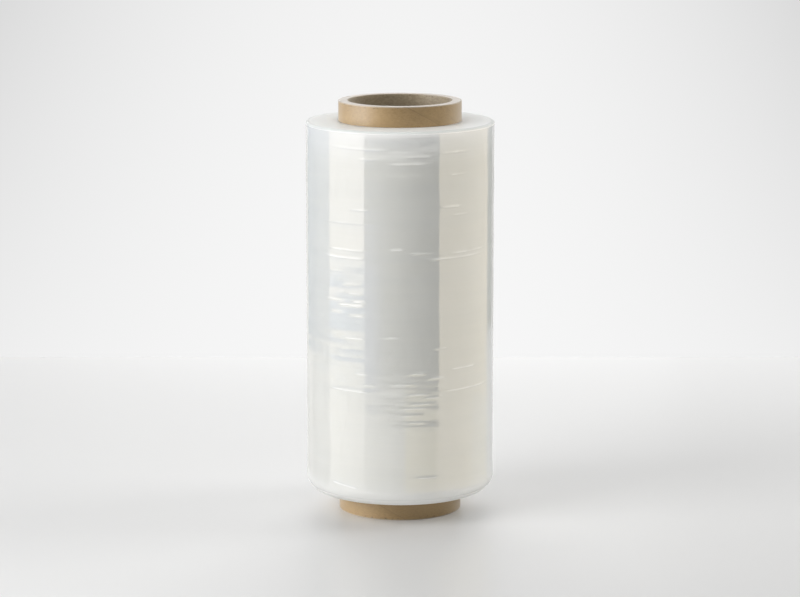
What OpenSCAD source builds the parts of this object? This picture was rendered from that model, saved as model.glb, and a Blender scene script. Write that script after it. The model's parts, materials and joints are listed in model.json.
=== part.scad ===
// Stretch wrap roll: clear film wound on a cardboard core that stands proud of it at both ends.
// The roll stands on the core's lower rim, with the core's axis on Z and the floor at Z = 0.

/* [Cardboard core] */
// Bore of the core, which a dispenser's spindle or a hand grip goes into
core_bore = 76.2; // [40:0.1:160]
// Wall of the core, many plies of paper glued together
core_wall = 7; // [3:0.5:15]
// Length of core that stands out below the film
foot_stub = 14.9; // [5:0.1:60]
// Length of core that stands out above the film
head_stub = 14.9; // [5:0.1:60]
// Break of the sharp edges that the saw leaves at each end of the core
rim_break = 0.4; // [0.1:0.1:1]
// Width of the paper strip that the outer ply is wound from
ply_width = 134; // [80:1:180]
// Gap between two turns of the outer ply, measured round the core
seam_gap = 0.8; // [0.3:0.1:2]
// Depth of that gap, which is the thickness of the outer ply
seam_depth = 0.4; // [0.1:0.05:0.8]
// Where the seam starts at the foot, as a turn about the axis
seam_start = 277; // [0:1:359]

/* [Wound film] */
// Width of the film, and so the height of the wound pack
film_width = 275; // [120:1:600]
// Depth of film from the core to the outside of the roll
wind_depth = 24.1; // [20:0.1:60]
// Rounding of the lower edge, where the outer turns have curled under
foot_round = 12; // [3:0.5:16]
// Rounding of the upper edge
head_round = 2.2; // [0.5:0.1:6]
// Spacing of the rings of turns that show on the two ends
turn_pitch = 1.6; // [0.8:0.1:4]
// Depth of the valleys between those rings
turn_depth = 0.45; // [0.1:0.05:1]
// Depth of the soft bands round the outside, where the film is a little thinner
band_depth = 0.3; // [0.05:0.05:0.8]
// Height of one of those bands
band_pitch = 34; // [15:1:80]
// How far a crease in the outer turns stands up
crease_rise = 0.2; // [0.1:0.05:0.5]
// Width of a crease
crease_width = 1.6; // [0.8:0.1:4]

/* [Free end of the film] */
// Width of the strip where the free end is folded back on itself, so that it can be found
tail_width = 16; // [6:1:40]
// Thickness of the fold
tail_rise = 0.2; // [0.1:0.05:0.5]
// Place of the free end round the roll, 90 being the back
tail_place = 112; // [45:1:135]

/* [Hidden] */

kraft = [0.67, 0.55, 0.40];
clear_film = [0.87, 0.89, 0.90];

core_inner_r = core_bore / 2;
core_outer_r = core_inner_r + core_wall;
core_length = foot_stub + film_width + head_stub;
film_foot = foot_stub;
film_head = foot_stub + film_width;
film_r = core_outer_r + wind_depth;

// A strip of this width covers the core without overlap when each turn climbs by this much
seam_slope = asin(min(0.95, ply_width / (2 * PI * core_outer_r)));
seam_lead = 2 * PI * core_outer_r * tan(seam_slope);
seam_step = 6;          // turn of the core for each slice of the seam, in degrees
cut_over = 1;           // how far a cut runs out past the face that it starts from

arc_step = 6;           // turn of an edge's rounding for each point of the outline
band_step = 4;          // height between two points of the outer outline
band_fade = 15;         // height over which the bands die away towards each end
golden_turn = 137.5;    // spreads the uneven rings and bands without a repeat

// Creases in the outer turns: height above the film's lower edge, bearing of the middle, turn covered
creases = [
    [262, 242, 44], [251.5, 275, 36], [220, 302, 36], [208, 236, 50], [188.5, 245, 80], [183, 285, 150],
    [162, 240, 44], [150, 243, 44], [124.5, 244, 30], [101.5, 311, 50], [97, 286, 36], [86, 276, 150],
    [76, 284, 40], [65, 282, 30], [23, 286, 30],
    [240, 40, 100], [203, 80, 140], [172, 60, 90], [140, 130, 120], [108, 20, 60], [66, 60, 120]];

full_turn_faces = 180;

// Points of a rounding about (x, y), from angle a to angle b
function arc(x, y, r, a, b) =
    let (n = max(2, round(abs(b - a) / arc_step)))
    [for (i = [0:n]) let (t = a + (b - a) * i / n) [x + r * cos(t), y + r * sin(t)]];

// Uneven number between 0 and 1 for ring or band number i
function uneven(i) = 0.5 + 0.5 * sin(i * golden_turn);

// Depth of the end face at each ring: deep in the valleys, nearly flush on the crests
function ring_depth(i) = turn_depth * (i % 2 == 0 ? 0.7 + 0.3 * uneven(i) : 0.35 * uneven(i));

// Points across one end of the wound pack, from the core out to r, with way = 1 for the head
function ring_points(r, level, way) =
    let (n = 2 * floor((r - core_outer_r) / turn_pitch), pitch = (r - core_outer_r) / (n + 1))
    [for (i = [0:n]) [core_outer_r + i * pitch, level - way * ring_depth(i)]];

// Inset of the outer outline at height z, the sum of two bands of different height
function band_inset(z) =
    let (ends = max(0, min(1, (z - film_foot - foot_round) / band_fade, (film_head - head_round - z) / band_fade)),
         wide = sin(360 * (z - film_foot) / (2 * band_pitch) + 30),
         narrow = sin(360 * (z - film_foot) / (0.7 * band_pitch)))
    band_depth * ends * (0.5 - 0.3 * wide - 0.2 * narrow);

// Points up the outside of the wound pack
function side_points() =
    let (low = film_foot + foot_round, high = film_head - head_round, n = max(4, round((high - low) / band_step)))
    [for (i = [1:n - 1]) let (z = low + (high - low) * i / n) [film_r - band_inset(z), z]];

function reversed(points) = [for (i = [len(points) - 1:-1:0]) points[i]];

// Half section of the wound pack
function pack_outline() = concat(
    ring_points(film_r - foot_round, film_foot, -1),
    arc(film_r - foot_round, film_foot + foot_round, foot_round, -90, 0),
    side_points(),
    arc(film_r - head_round, film_head - head_round, head_round, 0, 90),
    reversed(ring_points(film_r - head_round, film_head, 1)));

// Half section of the core, with its four sharp edges broken
module core_section() {
    r0 = core_inner_r;
    r1 = core_outer_r;
    polygon([
        [r0 + rim_break, 0], [r1 - rim_break, 0], [r1, rim_break],
        [r1, core_length - rim_break], [r1 - rim_break, core_length],
        [r0 + rim_break, core_length], [r0, core_length - rim_break], [r0, rim_break]]);
}

// Gap between two turns of the outer ply, from height z0 to z1. Seen from outside, it falls to the right.
module seam(z0, z1) {
    turned = 360 * (z1 - z0) / seam_lead;
    translate([0, 0, z0])
        rotate([0, 0, seam_start - 360 * z0 / seam_lead])
            linear_extrude(height = z1 - z0, twist = turned, slices = max(2, ceil(turned / seam_step)))
                translate([core_outer_r - seam_depth, -seam_gap / 2])
                    square([seam_depth + cut_over, seam_gap]);
}

module cardboard_core() {
    color(kraft)
        difference() {
            rotate_extrude($fn = full_turn_faces) core_section();
            seam(-cut_over, film_foot);
            seam(film_head, core_length + cut_over);
        }
}

// One crease in the outer turns, as a low ridge with sloping sides that runs part of the way round
module crease(height, bearing, turned) {
    root = band_depth + crease_rise;
    spread = crease_width * (root + crease_rise) / (2 * crease_rise);
    rotate([0, 0, bearing - turned / 2])
        rotate_extrude(angle = turned, $fn = full_turn_faces)
            translate([film_r, film_foot + height])
                polygon([[-root, -spread], [crease_rise, 0], [-root, spread]]);
}

// Free end of the film, folded back on itself and pressed against the roll
module tail() {
    low = film_foot + foot_round;
    high = film_head - head_round;
    turned = 360 * tail_width / (2 * PI * film_r);
    rotate([0, 0, tail_place - turned / 2])
        rotate_extrude(angle = turned, $fn = full_turn_faces)
            translate([film_r - band_depth - cut_over, low])
                square([band_depth + cut_over + tail_rise, high - low]);
}

module film_roll() {
    color(clear_film)
        union() {
            rotate_extrude($fn = full_turn_faces) polygon(pack_outline());
            for (c = creases)
                if (c[0] > foot_round + crease_width && c[0] < film_width - head_round - crease_width)
                    crease(c[0], c[1], c[2]);
            tail();
        }
}

cardboard_core();
film_roll();
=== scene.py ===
# %% [markdown]
# # A roll of stretch wrap, standing on its core
#
# The object is two pieces. A tube of brown board is the core, and about 1200 turns of clear film are
# wound on it. The solids already have the right shape and size. This lesson dresses them: it models a
# finer shell for each, gives both a finish that comes from noise and from where a point lies, and
# lights them on a white table.
#
# Everything is in metres. The axis of the roll is Z, and the table's top is at Z = 0.

# %% The frame
import json
import math

import bmesh
import bpy
from mathutils import Matrix, Vector, noise


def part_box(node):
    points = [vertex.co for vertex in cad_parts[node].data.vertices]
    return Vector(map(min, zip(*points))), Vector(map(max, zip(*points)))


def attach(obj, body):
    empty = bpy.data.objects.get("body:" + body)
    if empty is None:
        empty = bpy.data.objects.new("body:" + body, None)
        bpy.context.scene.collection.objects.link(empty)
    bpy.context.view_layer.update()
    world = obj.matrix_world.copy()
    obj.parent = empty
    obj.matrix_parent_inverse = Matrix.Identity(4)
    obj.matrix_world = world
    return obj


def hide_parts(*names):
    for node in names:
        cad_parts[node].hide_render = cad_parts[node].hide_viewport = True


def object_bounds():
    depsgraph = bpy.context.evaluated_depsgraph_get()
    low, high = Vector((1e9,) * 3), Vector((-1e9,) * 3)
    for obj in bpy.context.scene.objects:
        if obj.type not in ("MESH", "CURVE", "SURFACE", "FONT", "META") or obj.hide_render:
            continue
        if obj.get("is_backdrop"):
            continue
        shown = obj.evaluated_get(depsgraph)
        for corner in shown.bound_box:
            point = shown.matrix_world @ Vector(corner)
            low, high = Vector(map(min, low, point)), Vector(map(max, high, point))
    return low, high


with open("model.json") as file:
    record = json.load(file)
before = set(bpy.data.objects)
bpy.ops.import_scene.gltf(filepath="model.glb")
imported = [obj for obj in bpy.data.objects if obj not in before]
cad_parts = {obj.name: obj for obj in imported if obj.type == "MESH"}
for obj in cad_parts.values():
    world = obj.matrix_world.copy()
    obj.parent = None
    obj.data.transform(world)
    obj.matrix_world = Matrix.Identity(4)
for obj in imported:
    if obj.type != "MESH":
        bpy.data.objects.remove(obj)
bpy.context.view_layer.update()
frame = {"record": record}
core_low, core_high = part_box("cardboard_core")
film_low, film_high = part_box("film_roll")

# %% [markdown]
# ## Measures of the roll
#
# Sizes that are written twice drift apart, so they are read here from the frame: the core and the
# film from the boxes of their solids, and the bore from its mount in the record. The box of the film
# reaches out to its creases, which stand a fifth of a millimetre above the film. The film's own radius
# is that much smaller, so the creases made here end where the solid's do.

# %% Sizes of the roll
MM = 0.001
CREASE_RISE = 0.2 * MM
FOOT_ROUND = 12 * MM
HEAD_ROUND = 2.2 * MM

bore_mount = next(m for m in frame["record"]["mounts"] if m["name"] == "core_bore")
bore_r = bore_mount["dims"]["r_mm"] * MM
core_r = (core_high.x - core_low.x) / 2
core_top = core_high.z
film_r = (film_high.x - film_low.x) / 2 - CREASE_RISE
film_foot = film_low.z
film_head = film_high.z
print("radii of bore, core and film in mm:", [round(r / MM, 2) for r in (bore_r, core_r, film_r)])
print("the film reaches from", round(film_foot / MM, 1), "to", round(film_head / MM, 1), "mm")


# %% [markdown]
# ## Shells by turning an outline
#
# Both pieces are round about one axis, as if turned on a lathe. A cylinder could be cut and bevelled
# into them, but a flat outline that is spun shows at a glance what the section is. The outline starts
# as a plain rectangle. Its corners are bevelled, and planes then cut it where the surface needs more
# points, close together at a crease and far apart on plain stretches. A spin of a full turn closes on
# itself with use_merge.

# %% Outline helpers
TURN = 2 * math.pi
SAME_PLACE = 1e-7


def rectangle(bm, r0, r1, z0, z1):
    """Four corners in the XZ plane, as one face. Returns them in turn from the foot's inner one."""
    places = ((r0, z0), (r1, z0), (r1, z1), (r0, z1))
    corners = [bm.verts.new((r, 0, z)) for r, z in places]
    bm.faces.new(corners)
    return corners


def round_corner(bm, vert, radius, segments):
    """Rounds one corner of a flat outline."""
    bmesh.ops.bevel(
        bm, geom=[vert], offset=radius, offset_type="OFFSET", segments=segments,
        profile=0.5, affect="VERTICES", clamp_overlap=False, material=-1,
    )


def cut_outline(bm, axis, places, beyond=0.0):
    """Adds a point to the outline wherever a plane across the axis meets it, outside a radius."""
    normal = Vector((axis == "X", 0, axis == "Z"))
    for place in places:
        verts = [v for v in bm.verts if v.co.x > beyond]
        edges = [e for e in bm.edges if all(v.co.x > beyond for v in e.verts)]
        bmesh.ops.bisect_plane(
            bm, geom=verts + edges, dist=SAME_PLACE, plane_co=normal * place, plane_no=normal,
        )


def spin_outline(bm, steps):
    """Turns the outline's edges once round Z into a closed shell."""
    bmesh.ops.delete(bm, geom=bm.faces[:], context="FACES_ONLY")
    bmesh.ops.spin(
        bm, geom=bm.verts[:] + bm.edges[:], cent=(0, 0, 0), axis=(0, 0, 1), dvec=(0, 0, 0),
        angle=TURN, steps=steps, use_merge=True, use_normal_flip=False, use_duplicate=False,
    )
    bmesh.ops.remove_doubles(bm, verts=bm.verts[:], dist=SAME_PLACE)
    bmesh.ops.recalc_face_normals(bm, faces=bm.faces[:])


def steps_between(low, high, pitch):
    """Even places from low to high, about one pitch apart."""
    count = max(1, round((high - low) / pitch))
    return [low + (high - low) * i / count for i in range(count + 1)]


# %% [markdown]
# ## From a shape to an object
#
# A bmesh is only a working copy. It is written to a mesh, and the mesh goes into an object at the
# origin, where the solids are too. Smooth shading hides the facets, and an edge above the sharp angle
# stays crisp.

# %% Object helpers
SHARP_ANGLE = math.radians(50)


def placed(bm, name):
    """Writes the shape to a mesh and puts it into the scene."""
    mesh = bpy.data.meshes.new(name)
    bm.to_mesh(mesh)
    bm.free()
    thing = bpy.data.objects.new(name, mesh)
    bpy.context.scene.collection.objects.link(thing)
    return thing


def smooth_piece(bm, name):
    """A smooth-shaded piece from a spun shell."""
    for face in bm.faces:
        face.smooth = True
    piece = placed(bm, name)
    piece.data.set_sharp_from_angle(angle=SHARP_ANGLE)
    piece.data.calc_loop_triangles()
    print(name, "has", len(piece.data.loop_triangles), "triangles")
    return piece


# %% [markdown]
# ## Creases in the film
#
# Stretch film is wound under tension, and where the pull wanders, a thread of film bunches up and
# stands above the turn. It runs nearly level round the roll, rises a little as the film wanders
# sideways, and comes and goes. Creases could be drawn in a texture, but real ridges catch the light
# at their true edge from every side. Each crease is a row here: its height above the film's lower
# edge, how far it climbs across the roll, the strength of its ridge, the bearing that it is strongest
# at, and how far round it reaches. Bearing 0 is the right-hand side and 270 the front.

# %% Where the creases are
CREASES = [
    # height, climb, rise, bearing, reach (mm, mm, share, degrees, degrees)
    # the upper third, where they are few and fine
    (262.0, -1.5, 0.60, 242, 22),
    (259.0, 0.8, 0.50, 305, 12),
    (256.5, 0.2, 0.50, 281, 8),
    (254.5, 0.0, 0.50, 250, 6),
    (251.5, 0.3, 0.60, 275, 13),
    (243.0, 0.0, 0.60, 307, 7),
    (220.0, 0.2, 0.90, 302, 8),
    (218.0, 0.0, 0.60, 245, 7),
    (214.0, 0.2, 0.60, 309, 8),
    (208.0, 0.4, 0.50, 236, 24),
    # a pull that runs most of the way across the front
    (188.5, -0.6, 0.65, 236, 16),
    (190.0, 0.1, 0.95, 268, 5),
    (187.0, 0.3, 0.60, 284, 9),
    (186.5, 1.2, 0.70, 316, 18),
    (182.8, -1.0, 0.80, 234, 17),
    (183.0, 0.8, 0.75, 308, 26),
    # a stack of short ones on the left
    (172.2, 0.0, 0.45, 228, 6),
    (163.4, 0.0, 0.55, 240, 7),
    (156.9, 0.0, 0.60, 242, 6),
    (151.5, 0.0, 0.70, 227, 8),
    (151.2, 0.0, 1.00, 245, 5),
    (148.3, 0.0, 0.95, 239, 10),
    (142.7, 0.0, 0.50, 228, 5),
    (140.8, 0.0, 0.55, 243, 6),
    (126.5, 0.0, 0.55, 265, 4),
    (124.1, 0.0, 1.00, 241, 8),
    (117.5, 0.2, 0.70, 295, 5),
    # the second pull, with loose threads above and below it
    (101.5, 0.7, 0.95, 312, 12),
    (98.4, 0.0, 0.70, 246, 4),
    (99.5, 0.2, 0.75, 281, 5),
    (96.0, 0.3, 0.75, 293, 6),
    (90.6, 0.0, 0.80, 251, 4),
    (91.8, 0.1, 0.65, 272, 7),
    (85.5, -1.1, 1.05, 237, 16),
    (86.0, 0.6, 1.00, 316, 22),
    (84.0, 0.1, 0.80, 281, 8),
    (81.5, 0.2, 0.75, 290, 6),
    (77.0, 0.2, 0.80, 283, 8),
    (74.0, 0.3, 0.80, 279, 9),
    (69.0, 0.2, 0.70, 277, 7),
    (63.5, 0.4, 0.75, 280, 6),
    # near the lower edge
    (22.5, 0.1, 0.80, 287, 8),
    (14.6, -9.0, 1.10, 234, 11),
    # the side away from the camera
    (240.0, 0.6, 0.60, 40, 50),
    (203.0, 0.8, 0.60, 80, 80),
    (172.0, -0.6, 0.80, 60, 40),
    (140.0, -0.9, 0.70, 130, 60),
    (108.0, 0.9, 0.70, 20, 30),
    (66.0, 0.7, 0.60, 60, 60),
]
print(len(CREASES), "creases")

# %% [markdown]
# ## Rows of points up the film
#
# A ridge a millimetre wide needs rows of points much closer than the rest of the side does. Rows that
# close all the way up would be wasted on plain film, so only the heights near a crease get them. A
# crease that climbs far needs them all the way up its slant.

# %% Heights of the rows
CREASE_WIDTH = 1.1 * MM
ROW_PITCH = 3.6 * MM
NEAREST_ROWS = 0.3 * MM
# places of the rows across one crease and the pitch along a slanted one, in widths of a crease
FINE_OFFSETS = (-1.7, -1.1, -0.6, 0.0, 0.6, 1.1, 1.7)
SLANT_PITCH = 0.5
# a height rounded to this many places serves as the name of its row
ROW_DIGITS = 5


def crease_rows():
    """Heights of the rows of points up the outside of the film."""
    low = film_foot + FOOT_ROUND
    high = film_head - HEAD_ROUND
    found = set(round(z, ROW_DIGITS) for z in steps_between(low, high, ROW_PITCH)[1:-1])
    for height, climb, rise, strongest, reach in CREASES:
        slant = abs(climb) * math.sin(math.radians(reach)) * MM
        offsets = FINE_OFFSETS
        if slant > CREASE_WIDTH:
            furthest = FINE_OFFSETS[-1] + slant / CREASE_WIDTH
            offsets = steps_between(-furthest, furthest, SLANT_PITCH)
        for offset in offsets:
            found.add(round(film_foot + height * MM + offset * CREASE_WIDTH, ROW_DIGITS))
    kept = []
    for z in sorted(found):
        if low < z < high and (not kept or z - kept[-1] > NEAREST_ROWS):
            kept.append(z)
    return kept


rows = crease_rows()
print(len(rows), "rows of points up the film")


# %% [markdown]
# ## Uneven, but closed all the way round
#
# Nothing that is wound is quite even. Plain noise of the bearing would jump where the turn closes, so
# noise is read on a circle, where the end of a turn meets its start.

# %% Helpers for uneven shapes
def ring_noise(bearing, level, around, up, seed):
    """Smooth noise about 0 that closes on itself round the roll."""
    place = Vector((math.cos(bearing) * around, math.sin(bearing) * around, level * up + seed))
    return noise.noise(place)


def smooth_step(low, high, value):
    """From 0 at low to 1 at high with soft ends. Low may be the larger."""
    t = min(1.0, max(0.0, (value - low) / (high - low)))
    return t * t * (3 - 2 * t)


def turn_gap(bearing, degrees):
    """Smallest turn between a bearing in radians and one in degrees, in degrees."""
    return abs((math.degrees(bearing) - degrees + 180) % 360 - 180)


# %% [markdown]
# ## How high a crease stands at a point
#
# A crease is a bell-shaped ridge across, strongest at its own bearing and gone at the end of its
# reach. Noise breaks it up a little along the way, as the real threads come and go.

# %% Lift of the creases
# how far a crease can be from a row that it still lifts, and from a point, in mm
ROW_REACH = 4.5
POINT_REACH = 3
BELL_SHARE = 0.55


def creases_near(z):
    """The creases that pass within reach of one height, each with its number."""
    level = (z - film_foot) / MM
    return [(number, row) for number, row in enumerate(CREASES) if abs(level - row[0]) < ROW_REACH]


def crease_lift(bearing, z, near):
    """Height of the creases at one point, where 1 is a full crease."""
    lift = 0.0
    for number, (height, climb, rise, strongest, reach) in near:
        gap = turn_gap(bearing, strongest)
        if gap > reach:
            continue
        slant = climb * math.sin(bearing - math.radians(strongest))
        away = (z - film_foot) / MM - height - slant
        if abs(away) > POINT_REACH:
            continue
        broken = 0.7 + 0.3 * smooth_step(-0.3, 0.3, ring_noise(bearing, number, 7, 3.7, 11))
        fade = smooth_step(reach, reach * 0.55, gap)
        bell = math.exp(-((away * MM / (BELL_SHARE * CREASE_WIDTH)) ** 2))
        lift += rise * fade * broken * bell
    return lift


# %% [markdown]
# ## Soft bands
#
# Film is never of one thickness across its width, and a thousand turns add the difference up. The
# outside then has soft bands that go right round. They bend what the film mirrors, so they are in the
# mesh. Two layers of noise make them, one wide and one narrow.

# %% Bands in the film
BAND_DEPTH = 0.28 * MM
# height of one wide and one narrow band, in mm
WIDE_BAND = 24
NARROW_BAND = 8
BAND_FADE_FOOT = 15 * MM
BAND_FADE_HEAD = 6 * MM


def band_inset(bearing, z):
    """How far the soft bands draw the outside in at one point."""
    foot_fade = smooth_step(0, BAND_FADE_FOOT, z - film_foot - FOOT_ROUND)
    ends = foot_fade * smooth_step(0, BAND_FADE_HEAD, film_head - z)
    wide = ring_noise(bearing, z / MM, 1.1, 1 / WIDE_BAND, 3)
    narrow = ring_noise(bearing, z / MM, 2.4, 1 / NARROW_BAND, 8)
    return BAND_DEPTH * ends * (0.48 + 0.6 * wide + 0.36 * narrow)


print("the bands are about", round(BAND_DEPTH / MM, 2), "mm deep")


# %% [markdown]
# ## The shape of the wound film
#
# The points of the spun shell move to their bands and creases. The free end of the film is a strip at
# the back, raised a fifth of a millimetre above the turns. The two ends of the roll have rings, because
# the turns do not stop at quite the same height. Each point keeps how far a crease lifts it, as an
# attribute that the finish reads later.

# %% Shape of the film
RING_DEPTH = 0.30 * MM
CREASE_STAND = 0.36 * MM
TAIL_BEARING = 112
TAIL_WIDTH = 16 * MM
TAIL_RISE = 0.2 * MM


def side_shift(bearing, z, lift, upright):
    """How far out a point of the film's side moves."""
    tail_half = math.degrees(TAIL_WIDTH / film_r) / 2
    on_tail = smooth_step(tail_half + 0.5, tail_half, turn_gap(bearing, TAIL_BEARING))
    out = CREASE_STAND * lift - band_inset(bearing, z)
    out += on_tail * upright * TAIL_RISE * smooth_step(film_head, film_head - 4 * MM, z)
    return min(out, CREASE_RISE)


def ring_shift(bearing, r, way):
    """How far in a point of an end moves, with way = 1 at the head and -1 at the foot."""
    ring = ring_noise(bearing, r / MM, 0.25, 1 / 1.3, 40 * way)
    drift = ring_noise(bearing, r / MM, 0.5, 1 / 7, 70 * way)
    return RING_DEPTH * (0.5 + 0.5 * ring + 0.5 * drift)


def shape_film(bm):
    """Moves the points of the spun film to their bands, creases, rings and free end."""
    thread = bm.verts.layers.float.new("thread")
    near = {}
    for vert in bm.verts:
        r = math.hypot(vert.co.x, vert.co.y)
        if r < core_r + 0.1 * MM:
            continue
        bearing = math.atan2(vert.co.y, vert.co.x)
        z = vert.co.z
        if film_foot + 1 * MM < z < film_head - 1 * MM and r > film_r - FOOT_ROUND:
            row = round(z, ROW_DIGITS)
            if row not in near:
                near[row] = creases_near(row)
            upright = smooth_step(film_foot + 4 * MM, film_foot + FOOT_ROUND, z)
            lift = upright * crease_lift(bearing, z, near[row])
            vert[thread] = min(1.0, lift)
            scale = (r + side_shift(bearing, z, lift, upright)) / r
            vert.co.x *= scale
            vert.co.y *= scale
        else:
            way = 1 if z > (film_foot + film_head) / 2 else -1
            vert.co.z -= way * ring_shift(bearing, r, way)


# %% [markdown]
# ## The film
#
# The lower corner of the roll is round because the outer turns have curled under, and the upper one is
# nearly crisp. All the turns are one shell here. The ends are cut every millimetre, as fine as the
# rings on them, and the side has the rows worked out above.

# %% Build the film
FILM_STEPS = 216
RING_PITCH = 1.0 * MM
SIDE_SKIN = 0.1 * MM
FOOT_SEGMENTS = 14
HEAD_SEGMENTS = 6

bm = bmesh.new()
_, foot_corner, head_corner, _ = rectangle(bm, core_r, film_r, film_foot, film_head)
round_corner(bm, foot_corner, FOOT_ROUND, FOOT_SEGMENTS)
round_corner(bm, head_corner, HEAD_ROUND, HEAD_SEGMENTS)
cut_outline(bm, "Z", rows, beyond=film_r - SIDE_SKIN)
cut_outline(bm, "X", steps_between(core_r, film_r - HEAD_ROUND, RING_PITCH)[1:-1])
spin_outline(bm, FILM_STEPS)
shape_film(bm)
film = smooth_piece(bm, "wound_film")
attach(film, "root")
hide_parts("film_roll")

# %% [markdown]
# ## The seam of the core
#
# The core is wound from strips of paper at a slant. The outer ply has a gap where its turns meet, and
# that gap climbs round the tube as a helix. A swept cutter could carve it out, but then the shell
# would need a boolean. Points that lie on the helix are moved in instead. The strip's width gives the
# slope: it covers the tube without overlap when each turn climbs by just this much.

# %% The helix of the seam
PLY_WIDTH = 134 * MM
SEAM_START = 277
SEAM_WIDTH = 0.8 * MM
SEAM_DEPTH = 0.25 * MM

seam_slope = math.asin(PLY_WIDTH / (TURN * core_r))
seam_lead = -TURN * core_r * math.tan(seam_slope)
print("the seam climbs", round(seam_lead / MM, 1), "mm a turn")


def seam_depth(bearing, z):
    """Depth of the gap in the outer ply at one point of the core's outside."""
    at = math.radians(SEAM_START) + TURN * z / seam_lead
    away = abs((bearing - at + math.pi) % TURN - math.pi) * core_r
    return SEAM_DEPTH * smooth_step(SEAM_WIDTH, 0.4 * SEAM_WIDTH, away)


# %% [markdown]
# ## The sawn faces of the core
#
# What a saw leaves is a slightly soft edge, and a face that shows the plies as thin rings. A bump in
# the finish could give the rings, but not the uneven line of the edge, so they are in the mesh. The
# rings are a cosine of the radius, made rough by noise, and noise nibbles at the edges too. None of it
# is much deeper than a tenth of a millimetre.

# %% Shape of the core
PLY_COUNT = 7
PLY_RELIEF = 0.10 * MM
TORN_DEPTH = 0.12 * MM
NIBBLE_DEPTH = 0.10 * MM
WORN_LENGTH = 0.9 * MM


def shape_core(bm):
    """Adds the seam outside, the plies on the sawn faces and a little unevenness of the edges."""
    for vert in bm.verts:
        r = math.hypot(vert.co.x, vert.co.y)
        bearing = math.atan2(vert.co.y, vert.co.x)
        z = vert.co.z
        end = min(z, core_top - z)
        if end < WORN_LENGTH:
            way = 1 if z > core_top / 2 else -1
            ply = 0.5 - 0.5 * math.cos(TURN * PLY_COUNT * (r - bore_r) / (core_r - bore_r))
            rough = 0.5 + 0.5 * ring_noise(bearing, r / MM, 14, 0.8, 5 * way)
            torn = max(0, rough - 0.55) * (way > 0)
            near = smooth_step(WORN_LENGTH, 0, end)
            vert.co.z -= way * near * (PLY_RELIEF * ply * rough + TORN_DEPTH * torn)
            nibble = NIBBLE_DEPTH * max(0, ring_noise(bearing, way, 30, 9, 2)) * near
            inward = 1 if r > (bore_r + core_r) / 2 else -1
            vert.co.x *= (r - inward * nibble) / r
            vert.co.y *= (r - inward * nibble) / r
        if r > core_r - 0.2 * MM:
            scale = (r - seam_depth(bearing, z)) / r
            vert.co.x *= scale
            vert.co.y *= scale


# %% [markdown]
# ## The core
#
# The tube is spun like the film. Its rows are close where it stands out of the film and far apart
# inside it, where nothing of it shows.

# %% Build the core
CORE_STEPS = 360
RIM_ROUND = 0.45 * MM
RIM_SEGMENTS = 3
STUB_PITCH = 0.8 * MM
HIDDEN_PITCH = 25 * MM
RIM_PITCH = 0.28 * MM

bm = bmesh.new()
for corner in rectangle(bm, bore_r, core_r, core_low.z, core_top):
    round_corner(bm, corner, RIM_ROUND, RIM_SEGMENTS)
core_rows = steps_between(RIM_ROUND, film_foot, STUB_PITCH)[1:]
core_rows += steps_between(film_head, core_top - RIM_ROUND, STUB_PITCH)[:-1]
core_rows += steps_between(film_foot, film_head, HIDDEN_PITCH)[1:-1]
cut_outline(bm, "Z", core_rows)
cut_outline(bm, "X", steps_between(bore_r + RIM_ROUND, core_r - RIM_ROUND, RIM_PITCH)[1:-1])
spin_outline(bm, CORE_STEPS)
shape_core(bm)
core = smooth_piece(bm, "wound_core")
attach(core, "root")
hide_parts("cardboard_core")


# %% [markdown]
# ## Node helpers
#
# The finishes are made of nodes. Node by node they would fill pages, so a few short functions keep
# the graphs readable: each adds one node, sets its constants and joins its inputs.

# %% Node helpers
def new_material(name):
    """A material with its node tree and its main shader."""
    material = bpy.data.materials.new(name)
    material.use_nodes = True
    return material, material.node_tree, material.node_tree.nodes["Principled BSDF"]


def join(tree, target, value):
    """Joins a socket to an input, or sets the input's own number."""
    if hasattr(value, "is_output"):
        tree.links.new(value, target)
    else:
        target.default_value = value


def maths(tree, operation, *values):
    """One sum of sockets or numbers."""
    node = tree.nodes.new("ShaderNodeMath")
    node.operation = operation
    for target, value in zip(node.inputs, values):
        join(tree, target, value)
    return node.outputs[0]


def object_place(tree):
    """Where the shaded point is, in the piece's own coordinates."""
    return tree.nodes.new("ShaderNodeTexCoord").outputs["Object"]


def split(tree, place):
    """The three coordinates of a place."""
    node = tree.nodes.new("ShaderNodeSeparateXYZ")
    join(tree, node.inputs[0], place)
    return node.outputs


def stretched(tree, place, scale):
    """The place scaled by a different number along each axis, for a pattern that runs one way."""
    node = tree.nodes.new("ShaderNodeMapping")
    join(tree, node.inputs["Vector"], place)
    node.inputs["Scale"].default_value = scale
    return node.outputs[0]


def noise_of(tree, place, scale, detail=3.0, roughness=0.5):
    """Smooth noise between 0 and 1."""
    node = tree.nodes.new("ShaderNodeTexNoise")
    join(tree, node.inputs["Vector"], place)
    node.inputs["Scale"].default_value = scale
    node.inputs["Detail"].default_value = detail
    node.inputs["Roughness"].default_value = roughness
    return node.outputs["Fac"]


def ranged(tree, value, low, high, to_low=0.0, to_high=1.0):
    """Carries a value from one range to another, with soft ends."""
    node = tree.nodes.new("ShaderNodeMapRange")
    node.interpolation_type = "SMOOTHSTEP"
    for target, number in zip(node.inputs[:5], (value, low, high, to_low, to_high)):
        join(tree, target, number)
    return node.outputs[0]


def mixed(tree, factor, first, second):
    """Goes from the first colour to the second."""
    node = tree.nodes.new("ShaderNodeMix")
    node.data_type = "RGBA"
    join(tree, node.inputs["Factor"], factor)
    join(tree, node.inputs[6], first)
    join(tree, node.inputs[7], second)
    return node.outputs[2]


def bumped(tree, height, distance, before=None):
    """Fine relief of a given depth, on top of relief that came before."""
    node = tree.nodes.new("ShaderNodeBump")
    join(tree, node.inputs["Height"], height)
    node.inputs["Distance"].default_value = distance
    node.inputs["Strength"].default_value = 1.0
    if before is not None:
        join(tree, node.inputs["Normal"], before)
    return node.outputs[0]


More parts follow.
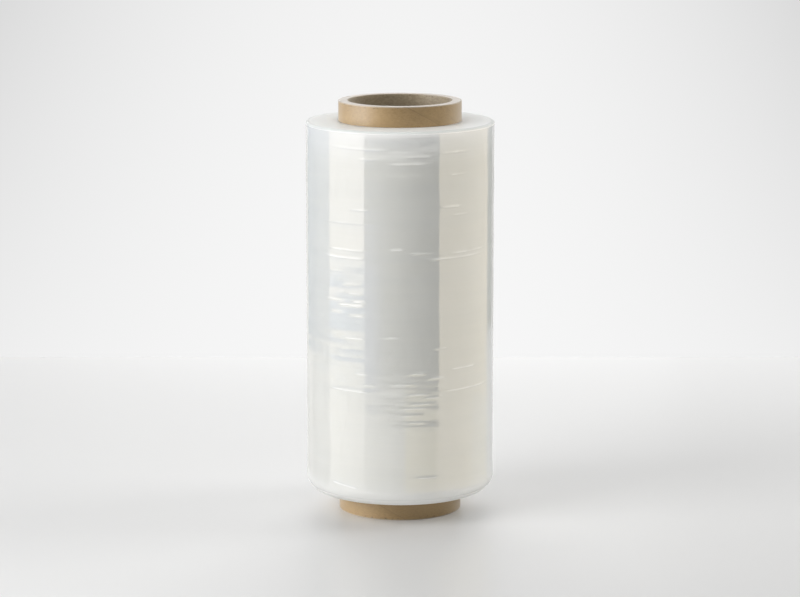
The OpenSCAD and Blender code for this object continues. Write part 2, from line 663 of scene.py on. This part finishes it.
def radius_of(tree, x, y):
    """Distance from the axis of the roll."""
    squares = [maths(tree, "MULTIPLY", side, side) for side in (x, y)]
    return maths(tree, "SQRT", maths(tree, "ADD", *squares))


# %% [markdown]
# ## The colour of the film
#
# One layer of stretch film is clear. In a thousand turns, light is scattered as in milk, so the roll
# is nearly white. Near the two ends more light gets in, and the film glows a little: the scattering
# gives part of that glow, and a paler colour near the ends paints the rest in. Faint streaks and
# clouds run round it where the turns touch more or less closely. A thread of bunched film is whiter
# still. The attribute that the mesh carries says where those are.

# %% Colour of the film
film_body = (0.766, 0.767, 0.730, 1)
painted_end_glow = (0.82, 0.825, 0.805, 1)
film_streak = (0.62, 0.65, 0.66, 1)
film_cloud = (0.88, 0.88, 0.86, 1)
film_thread = (0.96, 0.96, 0.94, 1)
HEAD_GLOW = 30 * MM
FOOT_GLOW = 22 * MM
GLOW_FULL = 2 * MM
CLOUDING = 0.10
THREAD_WHITE = 0.8


def film_colour(tree, place, height, streaks):
    """Milky white, with a painted glow near the ends, streaks, clouds and white threads."""
    # painted light: a paler colour near the two ends paints in the glow of the light let in there
    head_glow = ranged(tree, height, film_head - HEAD_GLOW, film_head - GLOW_FULL)
    foot_glow = ranged(tree, height, film_foot + FOOT_GLOW, film_foot + GLOW_FULL)
    cloud = noise_of(tree, stretched(tree, place, (14, 14, 30)), 1.0, 2)
    thread = tree.nodes.new("ShaderNodeAttribute")
    thread.attribute_name = "thread"
    bunched = ranged(tree, thread.outputs["Fac"], 0.15, 0.8, 0.0, THREAD_WHITE)
    body = mixed(tree, maths(tree, "MAXIMUM", head_glow, foot_glow), film_body, painted_end_glow)
    body = mixed(tree, ranged(tree, streaks, 0.3, 0.7, 0.0, CLOUDING), body, film_streak)
    body = mixed(tree, ranged(tree, cloud, 0.35, 0.7, 0.0, CLOUDING), body, film_cloud)
    return mixed(tree, bunched, body, film_thread)


# %% [markdown]
# ## The surface of the film
#
# One layer mirrors a few percent of the light, but many turns act as a pile of plates and mirror
# several times as much. A metal could mirror that strongly, but it would have no milky body, so a high
# index of refraction does it here. At the two edges the turns do not lie quite flush, and the mirror
# turns frosty. Fine lines run round the roll, from the die that drew the film, and it swells softly.

# %% Film on the outside
FILM_IOR = 2.4
SCATTERING = 0.85
FILM_SCATTER_DEPTH = 26 * MM
# roughness of the side, from its smoothest to its dullest, and of the frosty edges
SIDE_SMOOTH = 0.045
SIDE_DULL = 0.10
HEAD_FROST = 0.65
FOOT_FROST = 0.6
SWELL_DEPTH = 0.20 * MM
LINE_DEPTH = 0.020 * MM
RIPPLE_DEPTH = 0.035 * MM


def scattering(shader, depth):
    """Lets light of every colour spread equally far inside the film."""
    shader.inputs["Subsurface Weight"].default_value = SCATTERING
    shader.inputs["Subsurface Radius"].default_value = (1.0, 1.0, 1.0)
    shader.inputs["Subsurface Scale"].default_value = depth


def film_roughness(tree, height, streaks):
    """Glossy along the side and frosty at the two edges."""
    gloss = ranged(tree, streaks, 0.25, 0.75, SIDE_SMOOTH, SIDE_DULL)
    head_frost = ranged(tree, height, film_head - 3.5 * MM, film_head - 0.5 * MM, 0.0, HEAD_FROST)
    foot_frost = ranged(tree, height, film_foot + 9 * MM, film_foot + 1 * MM, 0.0, FOOT_FROST)
    return maths(tree, "MAXIMUM", gloss, maths(tree, "MAXIMUM", head_frost, foot_frost))


def film_relief(tree, place):
    """Soft swelling, the fine lines from the die, and a ripple of single turns."""
    swell = noise_of(tree, stretched(tree, place, (12, 12, 95)), 1.0, 2)
    lines = noise_of(tree, stretched(tree, place, (7, 7, 640)), 1.0, 3)
    ripple = noise_of(tree, stretched(tree, place, (60, 60, 420)), 1.0, 2)
    normal = bumped(tree, swell, SWELL_DEPTH)
    normal = bumped(tree, lines, LINE_DEPTH, before=normal)
    return bumped(tree, ripple, RIPPLE_DEPTH, before=normal)


def film_outside():
    """The finish of the film's side."""
    material, tree, shader = new_material("film_outer_turns")
    place = object_place(tree)
    height = split(tree, place)[2]
    streaks = noise_of(tree, stretched(tree, place, (9, 9, 160)), 1.0, 4)
    join(tree, shader.inputs["Base Color"], film_colour(tree, place, height, streaks))
    join(tree, shader.inputs["Roughness"], film_roughness(tree, height, streaks))
    join(tree, shader.inputs["Normal"], film_relief(tree, place))
    shader.inputs["IOR"].default_value = FILM_IOR
    scattering(shader, FILM_SCATTER_DEPTH)
    return material


film.data.materials.append(film_outside())
mirrored = ((FILM_IOR - 1) / (FILM_IOR + 1)) ** 2
print("the film mirrors", round(mirrored, 2), "of the light that meets it square on")


# %% [markdown]
# ## Finish of the two ends
#
# The ends show the edges of all the turns, as thousands of fine lines. A picture could carry them, but
# noise read along the radius alone gives rings that stay sharp from any distance. Light spreads inside
# the film here too. The rounded outer corner catches more light than the face, so it is painted darker
# there, as painted shade.

# %% Film at the ends of the roll
END_SCATTER_DEPTH = 16 * MM
END_RELIEF = 0.10 * MM
CORNER_SHADE = 0.85
end_valley = (0.86, 0.885, 0.86, 1)
end_crest = (0.94, 0.945, 0.93, 1)
end_haze = (0.84, 0.86, 0.84, 1)
painted_corner_shade = (0.63, 0.65, 0.63, 1)


def film_ends():
    """The finish of the film's two ends."""
    material, tree, shader = new_material("film_turn_edges")
    place = object_place(tree)
    x, y, _ = split(tree, place)
    radius = radius_of(tree, x, y)
    ring_place = tree.nodes.new("ShaderNodeCombineXYZ")
    join(tree, ring_place.inputs[0], maths(tree, "MULTIPLY", radius, 1 / MM))
    rings = noise_of(tree, ring_place.outputs[0], 1.4, 4, 0.7)
    haze = noise_of(tree, place, 55, 3)
    body = mixed(tree, ranged(tree, rings, 0.35, 0.7), end_valley, end_crest)
    body = mixed(tree, ranged(tree, haze, 0.4, 0.7, 0, 0.25), body, end_haze)
    # painted shade: the colour darkens towards the outer corner to hold back the light that the rounded
    # edge catches
    corner_shade_share = ranged(tree, radius, film_r - 4 * MM, film_r - 1 * MM, 0, CORNER_SHADE)
    join(tree, shader.inputs["Base Color"], mixed(tree, corner_shade_share, body, painted_corner_shade))
    join(tree, shader.inputs["Roughness"], ranged(tree, rings, 0.3, 0.7, 0.30, 0.48))
    join(tree, shader.inputs["Normal"], bumped(tree, rings, END_RELIEF))
    scattering(shader, END_SCATTER_DEPTH)
    return material


film.data.materials.append(film_ends())
print("the film has", len(film.data.materials), "finishes")

# %% [markdown]
# ## Which faces are the ends
#
# A face belongs to an end if it looks up or down. At the head, the rounded corner goes with the end as
# soon as it tips upwards, and the height keeps the slopes of the creases out. At the foot only the
# flat part counts, because the curled turns there are as glossy as the side.

# %% Finishes by face
HEAD_TIP = 0.12
FOOT_TIP = -0.9

end_faces = 0
for face in film.data.polygons:
    at_head = face.normal.z > HEAD_TIP and face.center.z > film_head - HEAD_ROUND
    at_end = at_head or face.normal.z < FOOT_TIP
    face.material_index = 1 if at_end else 0
    end_faces += at_end
print(end_faces, "of", len(film.data.polygons), "faces of the film are at its ends")


# %% [markdown]
# ## Kraft paper
#
# Kraft paper is brown and matt, with fibres that lie every way and darker specks. A scanned picture of
# it would repeat or stretch round the tube. Three layers of noise at different scales do not. The
# seam is a darker line on the same helix as in the mesh, worked out from the bearing and the height.

# %% Colour of the paper
kraft_light = (0.37, 0.246, 0.106, 1)
kraft_dark = (0.305, 0.195, 0.080, 1)
kraft_speck = (0.16, 0.10, 0.05, 1)
seam_brown = (0.19, 0.12, 0.06, 1)
SEAM_SHADE = 0.4


def paper_colour(tree, place, fibre, cloud):
    """Brown paper with fibres, clouds and specks."""
    speck = noise_of(tree, place, 900, 2, 0.6)
    paper = mixed(tree, ranged(tree, fibre, 0.3, 0.7), kraft_dark, kraft_light)
    paper = mixed(tree, ranged(tree, cloud, 0.35, 0.7, 0, 0.5), paper, kraft_light)
    return mixed(tree, ranged(tree, speck, 0.66, 0.74, 0, 0.7), paper, kraft_speck)


def with_seam(tree, paper, x, y, z):
    """Darkens the paper along the gap in the outer ply."""
    turn = maths(tree, "DIVIDE", maths(tree, "ARCTAN2", y, x), TURN)
    climb = maths(tree, "MULTIPLY_ADD", z, 1 / seam_lead, SEAM_START / 360)
    phase = maths(tree, "FRACT", maths(tree, "ADD", maths(tree, "SUBTRACT", turn, climb), 0.5))
    off_seam = maths(tree, "ABSOLUTE", maths(tree, "SUBTRACT", phase, 0.5))
    away = maths(tree, "MULTIPLY", off_seam, TURN * core_r)
    shade = ranged(tree, away, SEAM_WIDTH, 0.3 * MM, 0, SEAM_SHADE)
    return mixed(tree, shade, paper, seam_brown)


# %% [markdown]
# ## Bore and sawn faces
#
# The wall of the bore is the back of a greyer paper. On the sawn faces the ply edges are paler, because
# the saw roughs the fibres up, and a few dark chips lie where it tore the edge. Three materials could
# share the tube between them, but their borders would follow the faces of the mesh. One graph tells
# the parts apart by where they are, and its borders are soft.

# %% Colour of the bore and the rims
bore_light = (0.41, 0.335, 0.22, 1)
bore_dark = (0.30, 0.235, 0.155, 1)
rim_pale = (0.46, 0.38, 0.285, 1)
rim_ply = (0.36, 0.28, 0.185, 1)
rim_fibre = (0.30, 0.22, 0.14, 1)
edge_chip = (0.10, 0.065, 0.035, 1)


def with_bore(tree, paper, radius, fibre):
    """The greyer paper inside the tube."""
    inside = mixed(tree, ranged(tree, fibre, 0.3, 0.7), bore_dark, bore_light)
    on_bore = ranged(tree, radius, bore_r + 0.9 * MM, bore_r + 0.4 * MM)
    return mixed(tree, on_bore, paper, inside)


def with_rims(tree, paper, place, z, radius, fibre):
    """Chipped edges, and the pale plies of the two sawn faces."""
    end = maths(tree, "MINIMUM", z, maths(tree, "SUBTRACT", core_top, z))
    torn = noise_of(tree, place, 520, 3, 0.6)
    at_edge = ranged(tree, end, 2.6 * MM, 0.6 * MM)
    chipped = maths(tree, "MULTIPLY", at_edge, ranged(tree, torn, 0.57, 0.62, 0, 0.85))
    paper = mixed(tree, chipped, paper, edge_chip)
    depth = maths(tree, "SUBTRACT", radius, bore_r)
    ply = maths(tree, "SINE", maths(tree, "MULTIPLY", depth, TURN * PLY_COUNT / (core_r - bore_r)))
    cut = mixed(tree, ranged(tree, ply, -1, 1, 0, 0.55), rim_pale, rim_ply)
    cut = mixed(tree, ranged(tree, fibre, 0.45, 0.7, 0, 0.4), cut, rim_fibre)
    return mixed(tree, ranged(tree, end, 0.9 * MM, 0.5 * MM), paper, cut)


# %% [markdown]
# ## Finish of the board
#
# Calendered kraft paper has a dull shine, and its loose fibres catch light that grazes it. Sheen does
# the second. The relief is that of the fibres and of a soft waviness of the glued plies.

# %% Kraft board
BOARD_IOR = 1.60
BOARD_SHEEN = 0.6
SHEEN_ROUGHNESS = 0.45
FIBRE_DEPTH = 0.06 * MM
WAVE_DEPTH = 0.12 * MM


def kraft_board():
    """The finish of the whole core."""
    material, tree, shader = new_material("kraft_board")
    place = object_place(tree)
    x, y, z = split(tree, place)
    radius = radius_of(tree, x, y)
    fibre = noise_of(tree, stretched(tree, place, (420, 420, 900)), 1.0, 4, 0.6)
    cloud = noise_of(tree, place, 60, 3)
    paper = paper_colour(tree, place, fibre, cloud)
    paper = with_seam(tree, paper, x, y, z)
    paper = with_bore(tree, paper, radius, fibre)
    paper = with_rims(tree, paper, place, z, radius, fibre)
    join(tree, shader.inputs["Base Color"], paper)
    join(tree, shader.inputs["Roughness"], ranged(tree, fibre, 0.3, 0.7, 0.36, 0.52))
    normal = bumped(tree, fibre, FIBRE_DEPTH)
    join(tree, shader.inputs["Normal"], bumped(tree, cloud, WAVE_DEPTH, before=normal))
    shader.inputs["IOR"].default_value = BOARD_IOR
    shader.inputs["Sheen Weight"].default_value = BOARD_SHEEN
    shader.inputs["Sheen Roughness"].default_value = SHEEN_ROUGHNESS
    return material


core.data.materials.append(kraft_board())
print("the core has the finish", core.data.materials[0].name)


# %% [markdown]
# ## The table
#
# The roll stands on a white table that ends about half a metre behind it. It is no part of the
# object. It could be mirrored in the film as it is, but then one surface would have to give both the
# shadow on the table and the tones low in the film. So the film does not mirror the table, and cards
# further down stand for it there.

# %% The table
TABLE_LOW = (-0.66, -0.526, -0.03)
TABLE_HIGH = (0.66, 0.553, 0)
table_white = (0.73, 0.73, 0.725, 1)
TABLE_ROUGHNESS = 0.28
TABLE_IOR = 1.4


def staged(bm, name):
    """Puts a thing on the stage, which is no part of the object."""
    thing = placed(bm, name)
    thing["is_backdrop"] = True
    return thing


low = Vector(TABLE_LOW)
high = Vector(TABLE_HIGH)
bm = bmesh.new()
bmesh.ops.create_cube(bm, size=1)
bmesh.ops.scale(bm, vec=high - low, verts=bm.verts)
bmesh.ops.translate(bm, vec=(high + low) / 2, verts=bm.verts)
table = staged(bm, "table")
table.visible_glossy = False

white_table, _, shader = new_material("white_table")
shader.inputs["Base Color"].default_value = table_white
shader.inputs["Roughness"].default_value = TABLE_ROUGHNESS
shader.inputs["IOR"].default_value = TABLE_IOR
table.data.materials.append(white_table)
print("the table is", round(high.x - low.x, 2), "m wide and", round(high.y - low.y, 2), "m deep")


# %% [markdown]
# ## The table close to the roll
#
# Right at the foot, the mirrored shadow is what seats the roll. A thin disc of the same white, a
# twentieth of a millimetre proud of the table, is the part that the film does mirror.

# %% The part of the table that the roll mirrors
NEAR_TABLE_R = 0.16
NEAR_TABLE_RISE = 0.05 * MM

bm = bmesh.new()
bmesh.ops.create_circle(bm, cap_ends=True, segments=64, radius=NEAR_TABLE_R)
bmesh.ops.translate(bm, vec=(0, 0, NEAR_TABLE_RISE), verts=bm.verts)
near_table = staged(bm, "near_table")
near_table.data.materials.append(white_table)
print("the film mirrors the table out to", NEAR_TABLE_R, "m")


# %% [markdown]
# ## Things that glow
#
# The wall and the cards are seen or mirrored, but must not change the light on the roll. A lit surface
# would need lamps of its own, so each gives light instead, and is hidden from the rays that light
# other things.

# %% Glowing helpers
def glowing(name, colour, strength=1.0):
    """A material that only gives light, of one tone or of a tone that a node works out."""
    material = bpy.data.materials.new(name)
    material.use_nodes = True
    tree = material.node_tree
    tree.nodes.clear()
    light = tree.nodes.new("ShaderNodeEmission")
    light.inputs["Color"].default_value = (*colour, 1)
    light.inputs["Strength"].default_value = strength
    out = tree.nodes.new("ShaderNodeOutputMaterial")
    tree.links.new(light.outputs[0], out.inputs[0])
    return material, tree, light


def only_mirrored(thing, camera=False):
    """Lets a thing show in glossy surfaces, and shed no light or shadow of its own."""
    thing.visible_camera = camera
    thing.visible_diffuse = False
    thing.visible_shadow = False


# %% [markdown]
# ## The wall
#
# A white wall stands well behind the table. A lamp's light fades on it towards the corners, more so
# higher up. A gradient picture could show that, but a few sums of the place are smooth at any size.

# %% The wall behind
WALL_BEHIND = 3.0
WALL_HALF_SIZE = (4, 3, 1)
WALL_LIT_HEIGHT = -0.45
WALL_SPREAD_X = 0.69
WALL_SPREAD_Z = 0.573
WALL_TONE = 0.93
WALL_DARKEST = 0.66
# how much darker it gets across, across and up together, and up
FALL_ACROSS = 0.08
FALL_CORNER = 0.11
FALL_UP = 0.035


def wall_tone(tree, x, z):
    """Brightest low in the middle, and falling off with the square of the distance."""
    across = maths(tree, "MULTIPLY", x, 1 / WALL_SPREAD_X)
    across = maths(tree, "MINIMUM", maths(tree, "MULTIPLY", across, across), 2.0)
    up = maths(tree, "DIVIDE", maths(tree, "SUBTRACT", z, WALL_LIT_HEIGHT), WALL_SPREAD_Z)
    up = maths(tree, "MINIMUM", maths(tree, "MAXIMUM", up, -1.0), 1.5)
    sideways = maths(tree, "MULTIPLY", across, maths(tree, "MULTIPLY_ADD", up, FALL_CORNER, FALL_ACROSS))
    upwards = maths(tree, "MULTIPLY", maths(tree, "MULTIPLY", up, up), FALL_UP)
    fall = maths(tree, "ADD", sideways, upwards)
    return maths(tree, "MAXIMUM", maths(tree, "SUBTRACT", WALL_TONE, fall), WALL_DARKEST)


bm = bmesh.new()
bmesh.ops.create_grid(bm, x_segments=1, y_segments=1, size=1)
bmesh.ops.scale(bm, vec=WALL_HALF_SIZE, verts=bm.verts)
upright = Matrix.Rotation(math.radians(90), 3, "X")
bmesh.ops.rotate(bm, cent=(0, 0, 0), matrix=upright, verts=bm.verts)
bmesh.ops.translate(bm, vec=(0, WALL_BEHIND, 0), verts=bm.verts)
wall = staged(bm, "wall")
only_mirrored(wall, camera=True)

material, tree, light = glowing("lit_wall", (1, 1, 1))
x, _, z = split(tree, object_place(tree))
join(tree, light.inputs["Strength"], wall_tone(tree, x, z))
wall.data.materials.append(material)
print("the wall is", WALL_BEHIND, "m behind the roll")


# %% [markdown]
# ## What the film mirrors
#
# The bands on a roll of film are the room seen in it, bent round a cylinder. A point that faces the
# camera mirrors the room behind the camera, which is dark. A point 45 degrees round mirrors what is
# at the side. A photographed room could be wrapped round the scene, but tall curved cards, each over
# its own stretch of bearings, can be set one by one. They show in glossy surfaces and shed no light,
# so the lamps light the roll apart from them. A card may grow brighter to one side or higher up, as a
# real soft box does, and then its edge leaves no hard line in the film.

# %% Cards round the roll
CARD_DISTANCE = 1.0
CARD_STEPS = 24


def card(name, from_deg, to_deg, low, high, colour, tone, rise=0.0, climb=None):
    """A curved card between two bearings. 0 is towards the camera and 90 to its right. Its tone may
    rise by a share from the first bearing to the second, or climb to another between two heights."""
    bm = bmesh.new()
    foot = bm.verts.new((0, -CARD_DISTANCE, low))
    head = bm.verts.new((0, -CARD_DISTANCE, high))
    edge = bm.edges.new((foot, head))
    start = Matrix.Rotation(math.radians(from_deg), 3, "Z")
    bmesh.ops.rotate(bm, cent=(0, 0, 0), verts=bm.verts[:], matrix=start)
    bmesh.ops.spin(
        bm, geom=[foot, head, edge], cent=(0, 0, 0), axis=(0, 0, 1), dvec=(0, 0, 0),
        angle=math.radians(to_deg - from_deg), steps=CARD_STEPS, use_merge=False, use_duplicate=False,
    )
    thing = staged(bm, name)
    material, tree, light = glowing(name, colour, tone)
    x, y, z = split(tree, object_place(tree))
    if rise:
        bearing = maths(tree, "ARCTAN2", x, maths(tree, "MULTIPLY", y, -1.0))
        tone = ranged(tree, bearing, math.radians(from_deg), math.radians(to_deg), tone, tone * (1 + rise))
    if climb:
        tone = ranged(tree, z, climb[0], climb[1], tone, climb[2])
    join(tree, light.inputs["Strength"], tone)
    thing.data.materials.append(material)
    only_mirrored(thing)


# %% [markdown]
# ## The room in the film
#
# Seen from the roll, the middle is the dark room behind the camera, with a bluish shade to its left.
# A soft box and a blue screen follow on the left, and a warm screen on the right. Each card starts
# where the mirrored table ends, which is lower the nearer the table's edge is.

# %% Cards of the room
# bearings where one thing ends and the next begins
SCREEN_LEFT = -134
BOX_LEFT = -93
BOX_RIGHT = -42.6
SHADE_RIGHT = -12
WARM_LEFT = 47
WARM_RIGHT = 131
# heights of the table's edge as the film mirrors it
FRONT_EDGE = -0.114
LEFT_EDGE = -0.055
SIDE_EDGE = -0.066
BACK_EDGE = -0.05
# heights where things begin, end or grow brighter
BOX_FOOT = 0.012
SHADE_TOP = 0.14
ROOM_LIT = 0.22
GLOW_STARTS = 0.24
GLOW_ENDS = 0.34
CEILING = 1.6
WHITE = (1.0, 1.0, 1.0)
DUSK = (1.0, 0.96, 0.9)
BLUE_SHADE = (0.1, 0.3, 1.0)

card("left_shade", BOX_RIGHT, SHADE_RIGHT, FRONT_EDGE, SHADE_TOP, BLUE_SHADE, 0.30,
     rise=-0.95, climb=(0.0, SHADE_TOP, 0.01))
card("left_shade_top", BOX_RIGHT, SHADE_RIGHT, SHADE_TOP, CEILING, DUSK, 0.02,
     climb=(SHADE_TOP, ROOM_LIT, 0.65))
card("dark_room", SHADE_RIGHT, WARM_LEFT, FRONT_EDGE, CEILING, DUSK, 0.015,
     climb=(SHADE_TOP, ROOM_LIT, 0.75))
card("left_softbox", BOX_LEFT, BOX_RIGHT, BOX_FOOT, CEILING, (1.0, 0.95, 0.92), 0.82,
     rise=0.4, climb=(GLOW_STARTS, GLOW_ENDS, 1.9))
card("left_floor", BOX_LEFT, BOX_RIGHT, LEFT_EDGE, BOX_FOOT, (0.22, 0.5, 1.0), 0.56)
card("left_screen", SCREEN_LEFT, BOX_LEFT, SIDE_EDGE, CEILING, (0.0, 0.35, 1.0), 0.22)
card("left_gap", -150, SCREEN_LEFT, SIDE_EDGE, CEILING, (0.55, 0.75, 1.0), 0.42)
card("right_screen", WARM_LEFT, WARM_RIGHT, FRONT_EDGE, CEILING, (1.0, 0.87, 0.64), 1.03,
     climb=(GLOW_STARTS, GLOW_ENDS, 2.2))
card("right_gap", WARM_RIGHT, 149, BACK_EDGE, CEILING, (0.9, 1.0, 0.95), 0.30)
card("right_gap_edge", 149, 163, BACK_EDGE, CEILING, WHITE, 0.62)
print("the warm screen covers", WARM_RIGHT - WARM_LEFT, "degrees")

# %% [markdown]
# ## The table in the film
#
# Low in the film the bands turn pale, because it mirrors the white table there. The table itself is
# hidden from it, so cards below the table's level stand in, in the tones that the photo shows.

# %% Cards of the mirrored table
DEEPEST = -1.0

card("mirrored_left", BOX_LEFT, BOX_RIGHT, DEEPEST, LEFT_EDGE, (1.0, 0.97, 0.94), 0.86)
card("mirrored_centre", BOX_RIGHT, 6, DEEPEST, FRONT_EDGE, (1.0, 0.98, 0.95), 0.60)
card("mirrored_inner_right", 6, 44, DEEPEST, FRONT_EDGE, (1.0, 0.89, 0.62), 0.80)
card("mirrored_right", 44, 97, DEEPEST, FRONT_EDGE, (1.0, 0.89, 0.68), 1.06)
card("mirrored_right_side", 97, WARM_RIGHT, DEEPEST, FRONT_EDGE, (1.0, 0.93, 0.78), 0.96)
card("mirrored_left_side", SCREEN_LEFT, BOX_LEFT, DEEPEST, SIDE_EDGE, (0.95, 0.95, 1.0), 0.42)
card("mirrored_back_left", -160, SCREEN_LEFT, DEEPEST, SIDE_EDGE, WHITE, 0.68)
card("mirrored_back_right", WARM_RIGHT, 160, DEEPEST, BACK_EDGE, (0.95, 0.97, 1.0), 0.74)
card("mirrored_back", 160, 200, DEEPEST, BACK_EDGE, WHITE, 0.9)


# %% [markdown]
# ## Lists of what is lit
#
# Brown board and milky film ask for different light in one picture. A studio gives it with flags and
# small lamps. Light linking does that here: each lamp has a list of what it lights.

# %% Light linking
def receivers(name, things, state):
    """A list of what a lamp lights: with INCLUDE only the things, with EXCLUDE everything but them."""
    collection = bpy.data.collections.new(name)
    for thing in things:
        collection.objects.link(thing)
    for listed in collection.collection_objects:
        listed.light_linking.link_state = state
    return collection


board_only = receivers("lights_board_only", [core], "INCLUDE")
not_board = receivers("lights_all_but_board", [core], "EXCLUDE")
roll_only = receivers("lights_roll_only", [core, film], "INCLUDE")
not_roll = receivers("lights_all_but_roll", [core, film], "EXCLUDE")

# %% [markdown]
# ## Lamps
#
# Large lamps give soft shadows. Two at the left are the main light, and one at the right and one
# behind fill. These four leave the core out. Two more, at the left front and high behind, light the
# table alone, one above lights the roll alone, and two light the core alone. The powers came from
# rendering each lamp by itself and adding the pictures up.

# %% Lamps
LAMP_DISTANCE = 1.35
LAMP_AIM = Vector((0, 0, 0.15))


def lamp(name, bearing, elevation, size, power, lights):
    """A soft rectangular white lamp at a bearing from the camera's side, aimed at the roll."""
    data = bpy.data.lights.new(name, "AREA")
    data.shape = "RECTANGLE"
    data.size, data.size_y = size
    data.energy = power
    thing = bpy.data.objects.new(name, data)
    b = math.radians(bearing)
    e = math.radians(elevation)
    way = Vector((math.sin(b) * math.cos(e), -math.cos(b) * math.cos(e), math.sin(e)))
    thing.location = LAMP_AIM + LAMP_DISTANCE * way
    thing.rotation_euler = (LAMP_AIM - thing.location).to_track_quat("-Z", "Y").to_euler()
    bpy.context.scene.collection.objects.link(thing)
    thing.light_linking.receiver_collection = lights
    thing.visible_glossy = False
    thing.visible_camera = False
    return thing


lamp("left_low", -60, 10, (0.8, 0.5), 7.7, not_board)
lamp("left_high", -60, 35, (0.8, 0.6), 6.7, not_board)
lamp("left_front", -35, 20, (0.5, 0.8), 1.8, not_roll)
lamp("right_lamp", 100, 20, (0.6, 0.8), 7.5, not_board)
lamp("back_low", 180, 12, (1.0, 0.5), 9.8, not_board)
lamp("back_high", 180, 40, (1.0, 0.6), 3.2, not_roll)
lamp("head_lamp", 5, 65, (0.8, 0.8), 3.9, roll_only)
board_key = lamp("board_key", -80, 11, (0.9, 0.8), 23.5, board_only)
board_key.visible_glossy = True
lamp("board_rim", 130, 20, (0.6, 0.8), 9.6, board_only)
print(len(bpy.data.lights), "lamps")


# %% [markdown]
# ## The room's own light
#
# The world has two tones. A low one is the fill that reaches every surface. The paler one is what the
# camera and mirrored rays meet past the edge of the wall. The Light Path node tells the rays apart.

# %% World
WORLD_PALE = (0.72, 0.72, 0.72, 1)
WORLD_FILL = (0.298, 0.298, 0.298, 1)

world = bpy.data.worlds.new("studio")
bpy.context.scene.world = world
world.use_nodes = True
tree = world.node_tree
tree.nodes.clear()
path = tree.nodes.new("ShaderNodeLightPath")
through = maths(tree, "MAXIMUM", path.outputs["Is Glossy Ray"], path.outputs["Is Transmission Ray"])
seen = maths(tree, "MAXIMUM", path.outputs["Is Camera Ray"], through)
pale = tree.nodes.new("ShaderNodeBackground")
pale.inputs["Color"].default_value = WORLD_PALE
fill = tree.nodes.new("ShaderNodeBackground")
fill.inputs["Color"].default_value = WORLD_FILL
choice = tree.nodes.new("ShaderNodeMixShader")
out = tree.nodes.new("ShaderNodeOutputWorld")
tree.links.new(seen, choice.inputs[0])
tree.links.new(fill.outputs[0], choice.inputs[1])
tree.links.new(pale.outputs[0], choice.inputs[2])
tree.links.new(choice.outputs[0], out.inputs[0])
print("the world fills with", WORLD_FILL[0], "and shows", WORLD_PALE[0])


# %% [markdown]
# ## The camera
#
# It stands a little over two metres away, tilted down by about ten degrees, with a long lens, so the
# roll's sides stay nearly straight. These values came from the two ellipses of the core and the
# straight sides of the film, whose sizes are known. The lens is worked out from its length in pixels
# of the photo.

# %% Camera
CAMERA_DISTANCE = 2.2222
CAMERA_HEIGHT = 0.5679
CAMERA_TILT = 10.47
FOCAL_PIXELS = 3060.1
PHOTO_WIDTH = 800
SENSOR_WIDTH = 36

camera_data = bpy.data.cameras.new("camera")
camera_data.sensor_width = SENSOR_WIDTH
camera_data.lens = camera_data.sensor_width * FOCAL_PIXELS / PHOTO_WIDTH
camera = bpy.data.objects.new("camera", camera_data)
camera.location = (0, -CAMERA_DISTANCE, CAMERA_HEIGHT)
camera.rotation_euler = (math.radians(90 - CAMERA_TILT), 0, 0)
bpy.context.scene.collection.objects.link(camera)
bpy.context.scene.camera = camera
bpy.context.scene.view_settings.view_transform = "Standard"
print("the lens is", round(camera_data.lens, 1), "mm long")


# %% [markdown]
# ## Sizes
#
# Last, the box of what shows is measured.

# %% Sizes
low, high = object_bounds()
